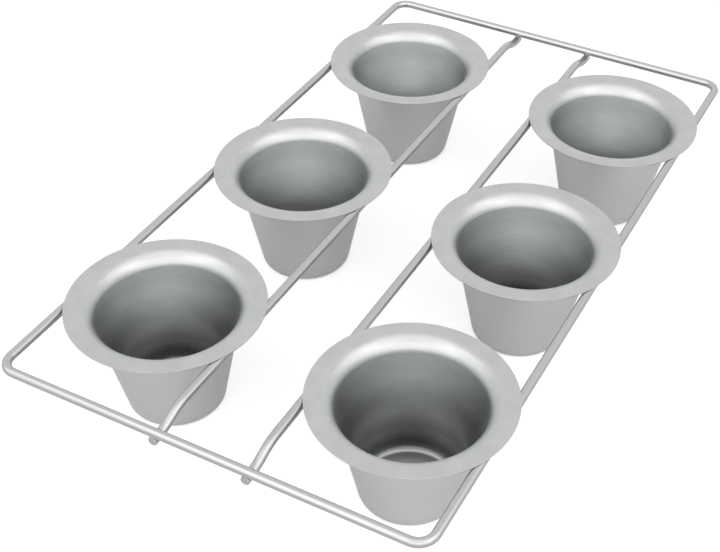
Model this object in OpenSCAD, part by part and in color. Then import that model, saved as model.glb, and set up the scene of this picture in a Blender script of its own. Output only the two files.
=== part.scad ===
// Popover pan: two rows of three deep drawn cups, welded by their rims onto a flat wire frame.
// X runs across the pan, Y along it, and Z up. The pan stands on the floors of its cups at z = 0.

/* [Cup] */
// Diameter of the flat rim, edge to edge
rim_d = 100; // [94:1:120]
// Height of a cup, from the surface it stands on to the top of its rim
cup_h = 63; // [45:0.5:80]
// Thickness of the drawn sheet
sheet_t = 0.6; // [0.4:0.1:1.2]
// Outer diameter of the tapered wall, measured where it would meet the plane of the rim
mouth_d = 76; // [70:0.2:80]
// Outer diameter of the tapered wall, measured where it would meet the base plane
base_d = 49.8; // [42:0.2:60]
// Radius of the roll-over from the flat rim into the wall, on the upper face
roll_r = 9; // [7:0.5:12]
// Radius of the edge between wall and floor, on the outside
base_edge_r = 3.5; // [1.5:0.5:8]

/* [Cup pattern] */
// Gap between two neighbouring rims in one row
cup_gap = 32; // [15:1:60]
// Gap between the rims of the two rows
row_gap = 36; // [20:1:80]

/* [Wire frame] */
// Diameter of the wire of the frame and of the rails
wire_d = 4.7; // [3.4:0.1:6]
// Bend radius of the frame's corners, on the axis of the wire
corner_r = 8.5; // [5:0.5:20]
// Gap from the last rim of a row to the end bar of the frame
end_gap = 19.8; // [16:0.2:60]
// How far the axis of a wire lies in from where the rim above it turns flat
rail_inset = 1; // [0:0.1:2]

/* [Rail ends] */
// Slope of the dip that takes an inner rail under an end bar, in degrees
dip_angle = 20; // [14:1:22]
// Bend radius of the dip, on the axis of the wire
dip_r = 28; // [14:1:32]
// Level stretch between the dip and the axis of the end bar
dip_lead = 1.5; // [1.5:0.5:8]
// How far a rail's cut end lies beyond the axis of the end bar
rail_tip = 1.6; // [1.6:0.1:10]

/* [Welds] */
// Gap between a wire and the piece that it is welded to, filled at the welds
weld_gap = 0.1; // [0.05:0.05:0.3]
// Diameter of a weld nugget
weld_d = 3; // [1.5:0.1:3]
// Distance from the edge of a rim, along its wire, to the middle of a weld nugget
weld_inset = 7.5; // [6:0.5:12]
// Length of the flush butt weld that closes the frame's wire
butt_l = 1.5; // [0.5:0.1:4]

/* [Hidden] */
$fn = 96;

// Sides and places of the pattern
LEFT = -1;
RIGHT = 1;
NEAR = -1;
MIDDLE = 0;
FAR = 1;

// Cup section, in the plane of radius and height
rim_r = rim_d / 2;
taper = atan((mouth_d - base_d) / 2 / cup_h);
// Radius of the outer wall at a height above the base plane
function wall_r(z) = base_d / 2 + z * tan(taper);
// Centre of the roll-over, below the line where the flat rim starts
roll_z = cup_h - roll_r;
roll_under_r = roll_r - sheet_t;
flat_r = wall_r(roll_z) + roll_under_r / cos(taper);
// Centre of the edge between wall and floor
edge_c_r = wall_r(base_edge_r) - base_edge_r / cos(taper);
edge_inner_r = base_edge_r - sheet_t;
ROLL_STEPS = 12;
EDGE_STEPS = 8;

// Places of the cups
row_x = (rim_d + row_gap) / 2;
cup_pitch = rim_d + cup_gap;

// Places of the wires: they lie in the hollow under the roll-over and just miss the sheet
wire_r = wire_d / 2;
roll_room = roll_under_r - weld_gap - wire_r;
wire_z = roll_z + sqrt(pow(roll_room, 2) - pow(rail_inset, 2));
rim_gap = cup_h - sheet_t - wire_z - wire_r;
rail_offset = flat_r - rail_inset;
outer_x = row_x + rail_offset;
inner_x = row_x - rail_offset;
bar_y = cup_pitch + rim_r + end_gap + wire_r;
// A straight run reaches a little into the bend beside it, which is a hair thinner
lap = 0.1;
bend_slack = 0.02;
bend_d = wire_d - bend_slack;

// Dip of an inner rail under an end bar, along the rail and down from its level
dip_h = wire_d + weld_gap;
dip_bend_h = dip_r * (1 - cos(dip_angle));
dip_bend_l = dip_r * sin(dip_angle);
dip_run = (dip_h - 2 * dip_bend_h) / sin(dip_angle);
dip_end = bar_y - dip_lead;
dip_start = dip_end - 2 * dip_bend_l - dip_run * cos(dip_angle);

// How far a wire's surface falls away from its crest within the radius of a nugget
weld_sag = wire_r - sqrt(pow(wire_r, 2) - pow(weld_d / 2, 2));
// Half the length of wire that a rim covers, and the place of the nuggets on it
rim_half_chord = sqrt(pow(rim_r, 2) - pow(rail_offset, 2));
weld_y = rim_half_chord - weld_inset;

// Points of an arc about a centre, from angle a0 to angle a1
function arc(centre, r, a0, a1, steps) = [
    for (i = [0 : steps])
        let (a = a0 + (a1 - a0) * i / steps)
        centre + r * [cos(a), sin(a)]
];

// Section of a cup: down the inner face from the rim to the floor, and back up the outer face
module cup_section() {
    roll_c = [flat_r, roll_z];
    edge_c = [edge_c_r, base_edge_r];
    polygon(concat(
        [[rim_r, cup_h]],
        arc(roll_c, roll_r, 90, 180 - taper, ROLL_STEPS),
        arc(edge_c, edge_inner_r, -taper, -90, EDGE_STEPS),
        [[0, sheet_t], [0, 0]],
        arc(edge_c, base_edge_r, -90, -taper, EDGE_STEPS),
        arc(roll_c, roll_under_r, 180 - taper, 90, ROLL_STEPS),
        [[rim_r, cup_h - sheet_t]]
    ));
}

// Moves its children to one place of the pattern
module at_cup(side, place) {
    translate([side * row_x, place * cup_pitch, 0]) children();
}

module cup(side, place) {
    at_cup(side, place) rotate_extrude() cup_section();
}

// Room over the underside of a rim and its roll-over, which cuts the nuggets to the sheet
module room_over_underside() {
    reach = rim_r + weld_d;
    rotate_extrude() polygon(concat(
        arc([flat_r, roll_z], roll_under_r, 180 - taper, 90, ROLL_STEPS),
        [[reach, cup_h - sheet_t], [reach, cup_h], [flat_r - roll_under_r * cos(taper), cup_h]]
    ));
}

// Straight wire along X at the level of the frame
module wire_along_x(x0, x1, y) {
    translate([x0, y, wire_z]) rotate([0, 90, 0]) cylinder(d = wire_d, h = x1 - x0);
}

// Straight wire along Y at the level of the frame
module wire_along_y(x, y0, y1) {
    translate([x, y0, wire_z]) rotate([-90, 0, 0]) cylinder(d = wire_d, h = y1 - y0);
}

// Bend of the wire about the origin, in the XY plane
module wire_bend(r, start, angle) {
    rotate([0, 0, start]) rotate_extrude(angle = angle) translate([r, 0]) circle(d = bend_d);
}

// Outer frame: four sides and four bent corners, open only where the butt weld closes it
module loop_wire() {
    side_y = bar_y - corner_r;
    end_x = outer_x - corner_r;
    for (y = [-bar_y, bar_y]) wire_along_x(-end_x - lap, end_x + lap, y);
    wire_along_y(-outer_x, -side_y - lap, side_y + lap);
    wire_along_y(outer_x, -side_y - lap, -butt_l / 2);
    wire_along_y(outer_x, butt_l / 2, side_y + lap);
    for (i = [0 : 3]) {
        sx = (i == 0 || i == 3) ? 1 : -1;
        sy = i < 2 ? 1 : -1;
        translate([sx * end_x, sy * side_y, wire_z]) wire_bend(corner_r, 90 * i, 90);
    }
}

// End of an inner rail, drawn along X with Y up: it dips, runs level and stops past the end bar
module rail_end() {
    slope = [dip_start + dip_bend_l + dip_run / 2 * cos(dip_angle), -dip_h / 2];
    slope_l = dip_run + 2 * lap;
    level_l = lap + dip_lead + rail_tip;
    translate([dip_start, -dip_r]) wire_bend(dip_r, 90 - dip_angle, dip_angle);
    translate(slope) rotate([0, 90, -dip_angle]) cylinder(d = wire_d, h = slope_l, center = true);
    translate([dip_end, dip_r - dip_h]) wire_bend(dip_r, 270 - dip_angle, dip_angle);
    translate([dip_end - lap, -dip_h]) rotate([0, 90, 0]) cylinder(d = wire_d, h = level_l);
}

module inner_rail(side) {
    x = side * inner_x;
    wire_along_y(x, -dip_start - lap, dip_start + lap);
    for (m = [0, 1]) mirror([0, m, 0]) translate([x, 0, wire_z]) rotate([90, 0, 90]) rail_end();
}

// Nugget between the crest of an inner rail and the underside of an end bar
module rail_weld(side, place) {
    x = side * inner_x;
    y = place * bar_y;
    h = weld_gap + 2 * weld_sag;
    difference() {
        translate([x, y, wire_z - dip_h / 2]) cylinder(d = weld_d, h = h, center = true);
        wire_along_x(x - weld_d, x + weld_d, y);
        translate([0, 0, -dip_h]) wire_along_y(x, y - weld_d, y + weld_d);
    }
}

// Four nuggets between the flat rim of one cup and the two wires under it
module rim_welds(side, place) {
    top = cup_h - sheet_t / 2;
    h = sheet_t / 2 + rim_gap + weld_sag;
    for (wire = [-1, 1]) {
        for (end = [-1, 1]) {
            x = side * row_x + wire * rail_offset;
            y = place * cup_pitch + end * weld_y;
            difference() {
                translate([x, y, top - h]) cylinder(d = weld_d, h = h);
                wire_along_y(x, y - weld_d, y + weld_d);
                at_cup(side, place) room_over_underside();
            }
        }
    }
}

module frame_loop() {
    color("silver") loop_wire();
}

module loop_butt_weld() {
    color("darkgray") wire_along_y(outer_x, -butt_l / 2, butt_l / 2);
}

module inner_rail_left() {
    color("silver") inner_rail(LEFT);
}

module inner_rail_right() {
    color("silver") inner_rail(RIGHT);
}

module rail_weld_near_left() {
    color("darkgray") rail_weld(LEFT, NEAR);
}

module rail_weld_near_right() {
    color("darkgray") rail_weld(RIGHT, NEAR);
}

module rail_weld_far_left() {
    color("darkgray") rail_weld(LEFT, FAR);
}

module rail_weld_far_right() {
    color("darkgray") rail_weld(RIGHT, FAR);
}

module cup_left_near() {
    color("lightgray") cup(LEFT, NEAR);
}

module cup_left_middle() {
    color("lightgray") cup(LEFT, MIDDLE);
}

module cup_left_far() {
    color("lightgray") cup(LEFT, FAR);
}

module cup_right_near() {
    color("lightgray") cup(RIGHT, NEAR);
}

module cup_right_middle() {
    color("lightgray") cup(RIGHT, MIDDLE);
}

module cup_right_far() {
    color("lightgray") cup(RIGHT, FAR);
}

module rim_welds_left_near() {
    color("darkgray") rim_welds(LEFT, NEAR);
}

module rim_welds_left_middle() {
    color("darkgray") rim_welds(LEFT, MIDDLE);
}

module rim_welds_left_far() {
    color("darkgray") rim_welds(LEFT, FAR);
}

module rim_welds_right_near() {
    color("darkgray") rim_welds(RIGHT, NEAR);
}

module rim_welds_right_middle() {
    color("darkgray") rim_welds(RIGHT, MIDDLE);
}

module rim_welds_right_far() {
    color("darkgray") rim_welds(RIGHT, FAR);
}

frame_loop();
loop_butt_weld();
inner_rail_left();
inner_rail_right();
rail_weld_near_left();
rail_weld_near_right();
rail_weld_far_left();
rail_weld_far_right();
cup_left_near();
cup_left_middle();
cup_left_far();
cup_right_near();
cup_right_middle();
cup_right_far();
rim_welds_left_near();
rim_welds_left_middle();
rim_welds_left_far();
rim_welds_right_near();
rim_welds_right_middle();
rim_welds_right_far();
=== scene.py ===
"""Popover pan in satin steel: six drawn cups hung by their rims in a welded wire frame."""

import math

import bpy
import numpy as np
from mathutils import Euler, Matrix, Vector, noise


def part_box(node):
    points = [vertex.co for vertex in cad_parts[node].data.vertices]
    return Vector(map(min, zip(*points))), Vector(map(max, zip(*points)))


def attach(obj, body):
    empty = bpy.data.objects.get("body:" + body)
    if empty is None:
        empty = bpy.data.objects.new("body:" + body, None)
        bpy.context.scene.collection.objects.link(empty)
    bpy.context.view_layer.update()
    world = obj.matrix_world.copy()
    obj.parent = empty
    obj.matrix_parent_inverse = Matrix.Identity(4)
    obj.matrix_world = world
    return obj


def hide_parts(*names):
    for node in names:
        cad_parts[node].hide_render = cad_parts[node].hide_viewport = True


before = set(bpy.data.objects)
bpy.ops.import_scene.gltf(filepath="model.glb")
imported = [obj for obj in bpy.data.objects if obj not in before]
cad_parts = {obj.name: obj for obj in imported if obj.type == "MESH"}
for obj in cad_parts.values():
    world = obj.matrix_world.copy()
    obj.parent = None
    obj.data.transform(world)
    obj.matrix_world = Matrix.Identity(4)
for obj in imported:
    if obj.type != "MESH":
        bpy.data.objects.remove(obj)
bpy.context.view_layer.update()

MM = 0.001
QUARTER = math.pi / 2

# The pattern: two rows side by side, with three cups in each
SIDES = {"left": -1, "right": 1}
PLACES = {"near": -1, "middle": 0, "far": 1}

# Sizes of the pan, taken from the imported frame
CUP_LOW, CUP_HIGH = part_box("cup_right_far")
RIM_R = (CUP_HIGH.x - CUP_LOW.x) / 2
CUP_H = CUP_HIGH.z
LOOP_LOW, LOOP_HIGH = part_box("frame_loop")
WIRE_R = (LOOP_HIGH.z - LOOP_LOW.z) / 2
WIRE_Z = (LOOP_HIGH.z + LOOP_LOW.z) / 2
LOOP_X = LOOP_HIGH.x - WIRE_R
LOOP_Y = LOOP_HIGH.y - WIRE_R
RAIL_LOW, RAIL_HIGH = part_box("inner_rail_right")
RAIL_X = (RAIL_LOW.x + RAIL_HIGH.x) / 2
RAIL_DROP = WIRE_Z - WIRE_R - RAIL_LOW.z
BUTT_LOW, BUTT_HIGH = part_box("loop_butt_weld")

# Sizes of the cup's section, as in the part's source. Mouth and base are taken on the wall's outer line
SHEET_T = 0.6 * MM
MOUTH_R = 38.0 * MM
BASE_R = 24.9 * MM
ROLL_R = 9.0 * MM
BASE_EDGE_R = 3.5 * MM
# Rounding of the rim's cut edge
RIM_EDGE_R = 0.1 * MM

# Bends of the wires, as in the part's source
CORNER_R = 8.5 * MM
DIP_ANGLE = math.radians(20)
DIP_R = 28 * MM
DIP_LEAD = 1.5 * MM

# A sheared wire end: pairs of the distance before the cut and what the radius has lost there, in mm
CUT_ROUNDING = [(0.45, 0.0), (0.2, 0.07), (0.05, 0.22), (0.0, 0.4)]
# Where the rail's straight end run stops, before the cut
CUT_START = 0.5 * MM

# Welds: the nugget's radius in the frame, how far a bead sinks in, and how uneven its outline is
NUGGET_R = 1.5 * MM
BEAD_SINK = 0.05 * MM
BEAD_WAVE = 0.1
# Reach of a bead along X and Y, and how much it is drawn in at its waist
RAIL_BEAD = (2.0 * MM, 1.9 * MM)
RAIL_BEAD_WAIST = 0.22
RIM_BEAD = (1.5 * MM, 2.4 * MM)
RIM_BEAD_WAIST = 0.12
# The butt weld: how far it laps over each wire end, its swell, and how fast that falls off
BUTT_LAP = 0.4 * MM
BUTT_SWELL = 0.03 * MM
BUTT_FALL = 1.4

# How finely the meshes are cut
CUP_SEGMENTS = 192
FLOOR_STEPS = 8
EDGE_STEPS = 12
WALL_STEPS = 12
INNER_ROLL_STEPS = 32
OUTER_ROLL_STEPS = 24
RIM_STEPS = 4
RIM_EDGE_STEPS = 5
WIRE_SIDES = 48
LOOP_SIDE_STEPS = 24
LOOP_CORNER_STEPS = 16
RAIL_STEPS = 20
DIP_STEPS = 8
DIP_RUN_STEPS = 4
TIP_STEPS = 6
BUTT_HALF_STEPS = 6
BEAD_SIDES = 40
BEAD_LEVELS = 8
SHARP_ANGLE = math.radians(40)


# ---------------------------------------------------------------- mesh tools


def new_piece(name, verts, faces, place=(0, 0, 0)):
    """A mesh object with smooth faces, sharp only where its faces meet at a real edge."""
    mesh = bpy.data.meshes.new(name)
    mesh.from_pydata([tuple(v) for v in verts], [], faces)
    mesh.validate()
    mesh.shade_smooth()
    mesh.set_sharp_from_angle(angle=SHARP_ANGLE)
    piece = bpy.data.objects.new(name, mesh)
    piece.location = place
    bpy.context.scene.collection.objects.link(piece)
    return piece


def strip(a, b, count):
    """Quads between two closed rings of vertices that start at a and b."""
    return [(a + i, a + (i + 1) % count, b + (i + 1) % count, b + i) for i in range(count)]


def arc(centre, radius, start, end, steps):
    """Points of an arc in a plane, from angle start to angle end."""
    angles = np.linspace(start, end, steps + 1)
    return [(centre[0] + radius * math.cos(a), centre[1] + radius * math.sin(a)) for a in angles]


def straight(a, b, steps):
    """Points between a and b, without a and b themselves."""
    return [tuple(a[k] + (b[k] - a[k]) * i / steps for k in range(2)) for i in range(1, steps)]


def lathe(name, section, segments, place):
    """A closed solid of revolution about Z. The section's first and last points lie on the axis."""
    verts = [(0, 0, section[0][1])]
    faces = []
    angles = np.linspace(0, 2 * math.pi, segments, endpoint=False)
    for r, z in section[1:-1]:
        verts += [(r * math.cos(a), r * math.sin(a), z) for a in angles]
    verts.append((0, 0, section[-1][1]))
    rings = len(section) - 2
    for i in range(segments):
        faces.append((0, 1 + i, 1 + (i + 1) % segments))
    for k in range(rings - 1):
        faces += strip(1 + (k + 1) * segments, 1 + k * segments, segments)
    first = 1 + (rings - 1) * segments
    for i in range(segments):
        faces.append((len(verts) - 1, first + (i + 1) % segments, first + i))
    return new_piece(name, verts, faces, place)


def sweep(name, path, side, radii):
    """A round wire along a flat path. side is the unit vector square to the path's plane."""
    path = [Vector(p) for p in path]
    side = Vector(side)
    verts = []
    faces = []
    angles = np.linspace(0, 2 * math.pi, WIRE_SIDES, endpoint=False)
    for k, centre in enumerate(path):
        along = (path[min(k + 1, len(path) - 1)] - path[max(k - 1, 0)]).normalized()
        up = along.cross(side)
        verts += [centre + radii[k] * (math.cos(a) * side + math.sin(a) * up) for a in angles]
    for k in range(len(path) - 1):
        faces += strip(k * WIRE_SIDES, (k + 1) * WIRE_SIDES, WIRE_SIDES)
    faces.append(tuple(range(WIRE_SIDES)))
    faces.append(tuple(reversed(range((len(path) - 1) * WIRE_SIDES, len(path) * WIRE_SIDES))))
    return new_piece(name, verts, faces)


def bead(x, y, reach, waist, seat, roof):
    """A weld bead between the surface seat(dx, dy) below and roof(dx, dy) above, drawn in at its waist."""
    verts = []
    faces = []
    for k in range(BEAD_LEVELS + 1):
        t = k / BEAD_LEVELS
        pull = 1 - waist * math.sin(math.pi * t)
        for i in range(BEAD_SIDES):
            a = 2 * math.pi * i / BEAD_SIDES
            wave = 1 + BEAD_WAVE * noise.noise(Vector((math.cos(a) + x / MM, math.sin(a) + y / MM, t)))
            dx = reach[0] * math.cos(a) * wave
            dy = reach[1] * math.sin(a) * wave
            low = seat(dx, dy) - BEAD_SINK
            high = roof(dx, dy) + BEAD_SINK
            verts.append((x + dx * pull, y + dy * pull, low + (high - low) * t))
    for k in range(BEAD_LEVELS):
        faces += strip(k * BEAD_SIDES, (k + 1) * BEAD_SIDES, BEAD_SIDES)
    faces.append(tuple(reversed(range(BEAD_SIDES))))
    faces.append(tuple(range(BEAD_LEVELS * BEAD_SIDES, (BEAD_LEVELS + 1) * BEAD_SIDES)))
    return verts, faces


def crest(offset):
    """Height of a wire's surface over its axis, at a sideways offset from that axis."""
    return math.sqrt(max(WIRE_R**2 - offset**2, 0))


# ---------------------------------------------------------------- shader tools

# Numbers of a colour mix's sockets
MIX_A = 6
MIX_B = 7
MIX_RESULT = 2


def plug(tree, socket, value):
    """Links a socket to value where that is a socket too, and otherwise sets it to value."""
    if isinstance(value, bpy.types.NodeSocket):
        tree.links.new(value, socket)
    else:
        socket.default_value = value


def add(tree, kind, **values):
    """A node of a tree, with the given properties and inputs."""
    node = tree.nodes.new(kind)
    for key, value in values.items():
        if hasattr(node, key):
            setattr(node, key, value)
        else:
            plug(tree, node.inputs[key.replace("_", " ")], value)
    return node


def calculate(tree, operation, *values):
    """The result of a math node."""
    node = add(tree, "ShaderNodeMath", operation=operation)
    for socket, value in zip(node.inputs, values):
        plug(tree, socket, value)
    return node.outputs["Value"]


def calculate_vector(tree, operation, *values):
    """The result of a vector math node, which is a number for a dot product."""
    node = add(tree, "ShaderNodeVectorMath", operation=operation)
    for socket, value in zip(node.inputs, values):
        plug(tree, socket, value)
    return node.outputs["Value" if operation == "DOT_PRODUCT" else "Vector"]


def mix_colours(tree, factor, a, b, blend="MIX"):
    """Colour a blended with colour b, as far as factor says."""
    node = add(tree, "ShaderNodeMix", data_type="RGBA", blend_type=blend, Factor=factor)
    plug(tree, node.inputs[MIX_A], a)
    plug(tree, node.inputs[MIX_B], b)
    return node.outputs[MIX_RESULT]


def remap(tree, value, low, high, source=(0.0, 1.0)):
    """A value stretched from the source range to the range from low to high."""
    node = add(tree, "ShaderNodeMapRange", Value=value, To_Min=low, To_Max=high)
    node.inputs["From Min"].default_value, node.inputs["From Max"].default_value = source
    return node.outputs["Result"]


def speckle(tree, where, scale, detail):
    """Noise from 0 to 1."""
    return add(tree, "ShaderNodeTexNoise", Vector=where, Scale=scale, Detail=detail).outputs["Fac"]


def bump(tree, height, strength, distance, **under):
    """The normal of a bumpy surface. under can give the Normal of the surface below it."""
    node = add(tree, "ShaderNodeBump", Height=height, Strength=strength, Distance=distance, **under)
    return node.outputs["Normal"]


def ramp(tree, source, stops, tint=(1, 1, 1)):
    """A smooth curve through pairs of source and value, as a grey or with a tint."""
    curve = add(tree, "ShaderNodeValToRGB", Fac=source)
    curve.color_ramp.interpolation = "EASE"
    elements = curve.color_ramp.elements
    while len(elements) < len(stops):
        elements.new(1.0)
    for element, (position, value) in zip(elements, stops):
        element.position = position
        element.color = [value * c for c in tint] + [1]
    return curve.outputs["Color"]


def new_tree(data):
    """The emptied node tree of a material or a world."""
    data.use_nodes = True
    data.node_tree.nodes.clear()
    return data.node_tree


# ---------------------------------------------------------------- materials

STEEL_TONE = (0.75, 0.756, 0.752)
WIRE_TONE = (0.5, 0.505, 0.502)
WELD_TONE = (0.36, 0.36, 0.36)

# Soft changes of tone: the parts of the tone between which they go, and their noise
CLOUD_DARK = 0.96
CLOUD_LIGHT = 1.03
CLOUD_SCALE = 45.0
CLOUD_DETAIL = 3.0

# Grain: the detail of its noise, what it adds to the roughness or takes away, and its bump
GRAIN_DETAIL = 3.0
GRAIN_GRIT = 0.04
GRAIN_STRENGTH = 0.25
# The scale of the cups' grain, and how deep it is
CUP_GRAIN = 2600.0
CUP_GRAIN_DEPTH = 0.01 * MM

# The cups' painted light and shade and their roughness over their height: parts of the cup's height, and
# the values there. Inside, painted shade darkens the floor and lower wall, a painted highlight makes a
# bright ring at the floor's rounded edge, and painted light brightens the middle of the wall. Outside, the
# body is painted lighter than the rim's top, with painted shade under the rim
INNER_PAINTED_LIGHT_AND_SHADE = [
    (0.0, 0.4),
    (0.012, 0.4),
    (0.022, 0.3),
    (0.037, 0.8),
    (0.052, 0.3),
    (0.09, 0.21),
    (0.22, 0.58),
    (0.4, 1.04),
    (0.62, 0.96),
    (0.84, 0.79),
    (0.93, 0.71),
]
# Outside: the body painted lighter as painted light, and painted shade under the rim
OUTER_PAINTED_LIGHT_AND_SHADE = [(0.0, 0.88), (0.85, 0.88), (0.93, 0.71)]
INNER_TINT = (0.99, 1.0, 1.003)
OUTER_TINT = (0.992, 1.0, 0.984)
CUP_ROUGHNESS = [(0.0, 0.22), (0.1, 0.28), (0.3, 0.3), (0.8, 0.3), (0.95, 0.36)]

# Draw marks: noise drawn out along the cup's rings, its bump, and the streaks that it leaves inside
MARK_SQUEEZE = (0.13, 0.13, 1)
MARK_SCALE = 700.0
MARK_DETAIL = 4.0
MARK_STRENGTH = 0.7
MARK_DEPTH = 0.06 * MM
STREAK_NOISE = (0.3, 0.7)
STREAK_DARK = 0.955
STREAK_LIGHT = 1.045


def object_place(tree):
    """The place of a point from its piece's own origin."""
    return add(tree, "ShaderNodeTexCoord").outputs["Object"]


def clouded(tree, where, tone):
    """A tone with soft changes."""
    cloud = speckle(tree, where, CLOUD_SCALE, CLOUD_DETAIL)
    dark = [c * CLOUD_DARK for c in tone] + [1]
    light = [c * CLOUD_LIGHT for c in tone] + [1]
    return mix_colours(tree, cloud, dark, light)


def metal(tree, colour, roughness, normal):
    """Ends a material's tree with plain metal."""
    shader = add(tree, "ShaderNodeBsdfPrincipled", Metallic=1.0)
    plug(tree, shader.inputs["Base Color"], colour)
    plug(tree, shader.inputs["Roughness"], roughness)
    plug(tree, shader.inputs["Normal"], normal)
    add(tree, "ShaderNodeOutputMaterial", Surface=shader.outputs["BSDF"])


def satin_steel(name, tone, roughness, grain, depth):
    """Satin metal with a fine even grain."""
    material = bpy.data.materials.new(name)
    tree = new_tree(material)
    where = object_place(tree)
    fine = speckle(tree, where, grain, GRAIN_DETAIL)
    rough = remap(tree, fine, roughness - GRAIN_GRIT, roughness + GRAIN_GRIT)
    normal = bump(tree, fine, GRAIN_STRENGTH, depth)
    metal(tree, clouded(tree, where, tone), rough, normal)
    return material


def faces_inward(tree, where):
    """1 on a cup's inside and on top of its rim, and 0 on its outside."""
    outward = calculate_vector(tree, "NORMALIZE", calculate_vector(tree, "MULTIPLY", where, (1, 1, 0)))
    out_and_down = calculate_vector(tree, "ADD", outward, (0, 0, -1))
    normal = add(tree, "ShaderNodeNewGeometry").outputs["Normal"]
    return calculate(tree, "LESS_THAN", calculate_vector(tree, "DOT_PRODUCT", out_and_down, normal), 0.0)


def drawn_steel(name):
    """The cups' satin metal. Painted light and shade change its tone with height, inside and outside
    apart, and its roughness changes with height too.
    """
    material = bpy.data.materials.new(name)
    tree = new_tree(material)
    where = object_place(tree)
    fine = speckle(tree, where, CUP_GRAIN, GRAIN_DETAIL)
    marks = speckle(tree, calculate_vector(tree, "MULTIPLY", where, MARK_SQUEEZE), MARK_SCALE, MARK_DETAIL)
    z = add(tree, "ShaderNodeSeparateXYZ", Vector=where).outputs["Z"]
    height = calculate(tree, "DIVIDE", z, CUP_H)
    inside = faces_inward(tree, where)
    # Painted light and shade over the height: painted shade low inside, a painted highlight ring at the
    # floor's edge, painted light mid wall, painted shade under the rim outside
    outer = ramp(tree, height, OUTER_PAINTED_LIGHT_AND_SHADE, OUTER_TINT)
    inner = ramp(tree, height, INNER_PAINTED_LIGHT_AND_SHADE, INNER_TINT)
    painted_light_and_shade = mix_colours(tree, inside, outer, inner)
    toned = mix_colours(tree, 1.0, clouded(tree, where, STEEL_TONE), painted_light_and_shade, "MULTIPLY")
    streaks = remap(tree, marks, STREAK_DARK, STREAK_LIGHT, STREAK_NOISE)
    colour = mix_colours(tree, inside, toned, streaks, "MULTIPLY")
    grit = remap(tree, fine, -GRAIN_GRIT, GRAIN_GRIT)
    rough = calculate(tree, "ADD", grit, ramp(tree, height, CUP_ROUGHNESS))
    grained = bump(tree, fine, GRAIN_STRENGTH, CUP_GRAIN_DEPTH)
    metal(tree, colour, rough, bump(tree, marks, MARK_STRENGTH, MARK_DEPTH, Normal=grained))
    return material


CUP_STEEL = drawn_steel("cup_satin")
WIRE_STEEL = satin_steel("wire_satin", WIRE_TONE, roughness=0.25, grain=3200.0, depth=0.004 * MM)
WELD_STEEL = satin_steel("weld_metal", WELD_TONE, roughness=0.45, grain=1800.0, depth=0.06 * MM)


def finish_piece(piece, material, slot, *nodes):
    """Gives a piece its material and its place in the part."""
    piece.data.materials.append(material)
    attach(piece, "root")
    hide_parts(*nodes)


# ---------------------------------------------------------------- cups


def cup_section():
    """Section of the sheet: from the middle of the floor up the inside, over the rim and back."""
    taper = math.atan((MOUTH_R - BASE_R) / CUP_H)
    roll_z = CUP_H - ROLL_R
    under_r = ROLL_R - SHEET_T
    wall_at_roll = BASE_R + roll_z * math.tan(taper)
    roll = (wall_at_roll + under_r / math.cos(taper), roll_z)
    wall_at_edge = BASE_R + BASE_EDGE_R * math.tan(taper)
    edge = (wall_at_edge - BASE_EDGE_R / math.cos(taper), BASE_EDGE_R)
    inner_edge = arc(edge, BASE_EDGE_R - SHEET_T, -QUARTER, -taper, EDGE_STEPS)
    inner_roll = arc(roll, ROLL_R, math.pi - taper, QUARTER, INNER_ROLL_STEPS)
    outer_roll = arc(roll, under_r, QUARTER, math.pi - taper, OUTER_ROLL_STEPS)
    outer_edge = arc(edge, BASE_EDGE_R, -taper, -QUARTER, EDGE_STEPS)
    tip = RIM_R - RIM_EDGE_R
    rim_top = arc((tip, CUP_H - RIM_EDGE_R), RIM_EDGE_R, QUARTER, 0, RIM_EDGE_STEPS)
    rim_low = arc((tip, CUP_H - SHEET_T + RIM_EDGE_R), RIM_EDGE_R, 0, -QUARTER, RIM_EDGE_STEPS)
    floor_top = (0, SHEET_T)
    floor_low = (0, 0)
    return (
        [floor_top]
        + straight(floor_top, inner_edge[0], FLOOR_STEPS)
        + inner_edge
        + straight(inner_edge[-1], inner_roll[0], WALL_STEPS)
        + inner_roll
        + straight(inner_roll[-1], rim_top[0], RIM_STEPS)
        + rim_top
        + rim_low
        + straight(rim_low[-1], outer_roll[0], RIM_STEPS)
        + outer_roll
        + straight(outer_roll[-1], outer_edge[0], WALL_STEPS)
        + outer_edge
        + straight(outer_edge[-1], floor_low, FLOOR_STEPS)
        + [floor_low]
    )


def make_cup(side, place):
    node = f"cup_{side}_{place}"
    low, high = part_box(node)
    centre = ((low.x + high.x) / 2, (low.y + high.y) / 2, 0)
    cup = lathe(f"drawn_{node}", cup_section(), CUP_SEGMENTS, centre)
    finish_piece(cup, CUP_STEEL, "cup_sheet", node)


# ---------------------------------------------------------------- wires


def make_loop():
    """The outer wire, from one side of its butt weld round to the other."""
    start = (LOOP_X, BUTT_HIGH.y)
    end = (LOOP_X, BUTT_LOW.y)
    x = LOOP_X - CORNER_R
    y = LOOP_Y - CORNER_R
    path = [start]
    for k, centre in enumerate([(x, y), (-x, y), (-x, -y), (x, -y)]):
        bend = arc(centre, CORNER_R, k * QUARTER, (k + 1) * QUARTER, LOOP_CORNER_STEPS)
        path += straight(path[-1], bend[0], LOOP_SIDE_STEPS)
        path += bend
    path += straight(path[-1], end, LOOP_SIDE_STEPS)
    path.append(end)
    points = [(px, py, WIRE_Z) for px, py in path]
    loop = sweep("bent_frame_loop", points, (0, 0, 1), [WIRE_R] * len(points))
    finish_piece(loop, WIRE_STEEL, "frame_wire", "frame_loop")


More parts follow.
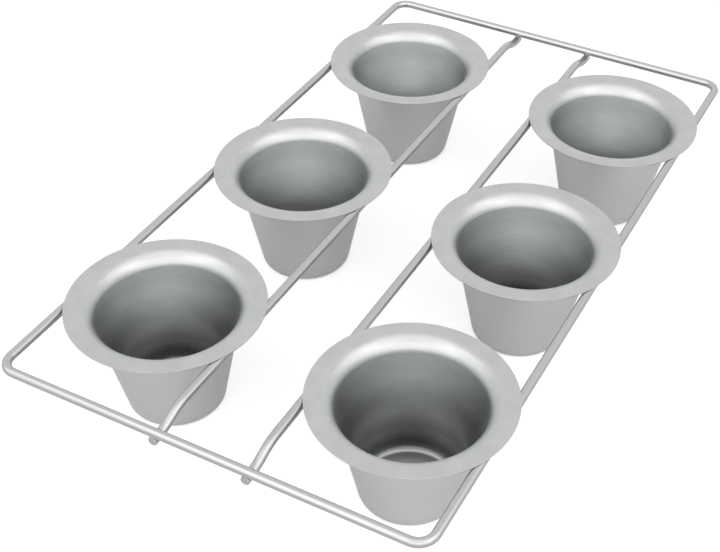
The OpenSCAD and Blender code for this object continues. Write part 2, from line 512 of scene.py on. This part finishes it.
def rail_path():
    """Half of a rail in the plane of Y and Z, from its middle to the end of its dip."""
    bend_h = DIP_R * (1 - math.cos(DIP_ANGLE))
    bend_l = DIP_R * math.sin(DIP_ANGLE)
    run = (RAIL_DROP - 2 * bend_h) / math.sin(DIP_ANGLE)
    dip_end = LOOP_Y - DIP_LEAD
    dip_start = dip_end - 2 * bend_l - run * math.cos(DIP_ANGLE)
    upper = (dip_start, WIRE_Z - DIP_R)
    lower = (dip_end, WIRE_Z - RAIL_DROP + DIP_R)
    first = arc(upper, DIP_R, QUARTER, QUARTER - DIP_ANGLE, DIP_STEPS)
    second = arc(lower, DIP_R, -QUARTER - DIP_ANGLE, -QUARTER, DIP_STEPS)
    path = straight((0, WIRE_Z), first[0], RAIL_STEPS) + first
    path += straight(first[-1], second[0], DIP_RUN_STEPS) + second
    return path


def make_rail(side):
    half = rail_path()
    z = half[-1][1]
    half += straight(half[-1], (RAIL_HIGH.y - CUT_START, z), TIP_STEPS)
    radii = [WIRE_R] * len(half)
    for before, loss in CUT_ROUNDING:
        half.append((RAIL_HIGH.y - before * MM, z))
        radii.append(WIRE_R - loss * MM)
    x = SIDES[side] * RAIL_X
    points = [(x, -py, pz) for py, pz in reversed(half)]
    points += [(x, 0, WIRE_Z)] + [(x, py, pz) for py, pz in half]
    radii = list(reversed(radii)) + [WIRE_R] + radii
    rail = sweep(f"drawn_rail_{side}", points, (1, 0, 0), radii)
    finish_piece(rail, WIRE_STEEL, "frame_wire", f"inner_rail_{side}")


# ---------------------------------------------------------------- welds


def make_rail_weld(side, place):
    """The bead where a rail passes under an end bar."""
    x = SIDES[side] * RAIL_X
    y = PLACES[place] * LOOP_Y
    seat = lambda dx, dy: WIRE_Z - RAIL_DROP + crest(dx)
    roof = lambda dx, dy: WIRE_Z - crest(dy)
    verts, faces = bead(x, y, RAIL_BEAD, RAIL_BEAD_WAIST, seat, roof)
    weld = new_piece(f"bead_{place}_{side}", verts, faces)
    finish_piece(weld, WELD_STEEL, "weld_metal", f"rail_weld_{place}_{side}")


def make_rim_welds(side, place):
    """The four beads between a rim and the wires under it."""
    node = f"rim_welds_{side}_{place}"
    low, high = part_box(node)
    seat = lambda dx, dy: WIRE_Z + crest(dx)
    roof = lambda dx, dy: CUP_H - SHEET_T
    verts = []
    faces = []
    for x in (low.x + NUGGET_R, high.x - NUGGET_R):
        for y in (low.y + NUGGET_R, high.y - NUGGET_R):
            more, shell = bead(x, y, RIM_BEAD, RIM_BEAD_WAIST, seat, roof)
            faces += [tuple(i + len(verts) for i in face) for face in shell]
            verts += more
    weld = new_piece(f"beads_{side}_{place}", verts, faces)
    finish_piece(weld, WELD_STEEL, "weld_metal", node)


def make_butt_weld():
    """The slug that closes the outer wire, ground almost flush."""
    middle = (BUTT_LOW.y + BUTT_HIGH.y) / 2
    half = (BUTT_HIGH.y - BUTT_LOW.y) / 2 + BUTT_LAP
    path = []
    radii = []
    for k in range(-BUTT_HALF_STEPS, BUTT_HALF_STEPS + 1):
        t = k / BUTT_HALF_STEPS
        path.append((LOOP_X, middle + half * t, WIRE_Z))
        radii.append(WIRE_R + BUTT_SWELL * (1 - BUTT_FALL * t * t))
    weld = sweep("butt_slug", path, (0, 0, 1), radii)
    finish_piece(weld, WELD_STEEL, "weld_metal", "loop_butt_weld")


for side in SIDES:
    make_rail(side)
    for place in PLACES:
        make_cup(side, place)
        make_rim_welds(side, place)
    for place in ("near", "far"):
        make_rail_weld(side, place)
make_loop()
make_butt_weld()


# ---------------------------------------------------------------- stage, light and camera

# The floor: half its width in metres, its grey, and the glow that hides most of its shadows
FLOOR_REACH = 6.0
FLOOR_GREY = (0.8, 0.8, 0.8, 1)
FLOOR_GLOW = 0.5

# The world's light on the floor. The camera and the metal see it at full strength
WORLD_STRENGTH = 0.6

# How far the softboxes stand from the pan's middle, in metres
SOFTBOX_DISTANCE = 1.5

# The camera, fitted to the photo: its place in metres, its turn in degrees, its lens and sensor in mm,
# its sideways shift in picture widths, and how far in front of it the view starts, in metres
CAMERA_PLACE = (0.24696, -0.50681, 0.48191)
CAMERA_TURN = (50.049, -1.175, 27.236)
CAMERA_LENS = 64.35
CAMERA_SENSOR = 36
CAMERA_SHIFT = -0.061
CAMERA_CLIP = 0.05


def make_floor():
    """White paper. It glows a little to the camera alone, which leaves only faint shadows."""
    mesh = bpy.data.meshes.new("floor")
    r = FLOOR_REACH
    mesh.from_pydata([(-r, -r, 0), (r, -r, 0), (r, r, 0), (-r, r, 0)], [], [(0, 1, 2, 3)])
    floor = bpy.data.objects.new("floor", mesh)
    bpy.context.scene.collection.objects.link(floor)
    material = bpy.data.materials.new("floor_white")
    tree = new_tree(material)
    matte = add(tree, "ShaderNodeBsdfDiffuse", Color=FLOOR_GREY)
    seen = add(tree, "ShaderNodeLightPath").outputs["Is Camera Ray"]
    glow = add(tree, "ShaderNodeEmission", Strength=calculate(tree, "MULTIPLY", seen, FLOOR_GLOW))
    both = add(tree, "ShaderNodeAddShader")
    plug(tree, both.inputs[0], matte.outputs["BSDF"])
    plug(tree, both.inputs[1], glow.outputs["Emission"])
    add(tree, "ShaderNodeOutputMaterial", Surface=both.outputs["Shader"])
    mesh.materials.append(material)


def make_softbox(name, azimuth, elevation, size, power):
    """A rectangular lamp that looks at the pan's middle. Azimuth 0 is the near side, 90 the right."""
    lamp = bpy.data.lights.new(name, "AREA")
    lamp.shape = "RECTANGLE"
    lamp.size, lamp.size_y = size
    lamp.energy = power
    a, e = math.radians(azimuth), math.radians(elevation)
    back = Vector((math.sin(a) * math.cos(e), -math.cos(a) * math.cos(e), math.sin(e)))
    box = bpy.data.objects.new(name, lamp)
    box.location = back * SOFTBOX_DISTANCE
    box.rotation_mode = "QUATERNION"
    box.rotation_quaternion = (-back).to_track_quat("-Z", "Y")
    box.visible_camera = False
    bpy.context.scene.collection.objects.link(box)


def make_world():
    """White all round, at full strength to the camera and the metal, and weaker on the floor."""
    world = bpy.data.worlds.new("white")
    bpy.context.scene.world = world
    tree = new_tree(world)
    light = add(tree, "ShaderNodeLightPath")
    seen = light.outputs["Is Camera Ray"]
    for kind in ("Is Glossy Ray", "Is Transmission Ray"):
        seen = calculate(tree, "MAXIMUM", seen, light.outputs[kind])
    strength = remap(tree, seen, WORLD_STRENGTH, 1.0)
    glow = add(tree, "ShaderNodeBackground", Color=(1, 1, 1, 1), Strength=strength)
    add(tree, "ShaderNodeOutputWorld", Surface=glow.outputs["Background"])
    world.cycles.sampling_method = "NONE"


def make_camera():
    lens = bpy.data.cameras.new("camera")
    lens.lens = CAMERA_LENS
    lens.sensor_width = CAMERA_SENSOR
    lens.shift_x = CAMERA_SHIFT
    lens.clip_start = CAMERA_CLIP
    camera = bpy.data.objects.new("camera", lens)
    camera.location = CAMERA_PLACE
    camera.rotation_euler = Euler([math.radians(a) for a in CAMERA_TURN])
    bpy.context.scene.collection.objects.link(camera)
    bpy.context.scene.camera = camera


make_floor()
make_world()
make_softbox("front_softbox", azimuth=26, elevation=24, size=(3.0, 1.0), power=6.8)
make_softbox("left_softbox", azimuth=-44, elevation=38, size=(1.4, 1.3), power=3.2)
make_softbox("right_softbox", azimuth=96, elevation=38, size=(1.4, 1.3), power=3.6)
make_softbox("overhead_softbox", azimuth=26, elevation=66, size=(2.8, 1.6), power=7.5)
make_camera()
bpy.context.scene.view_settings.view_transform = "Standard"
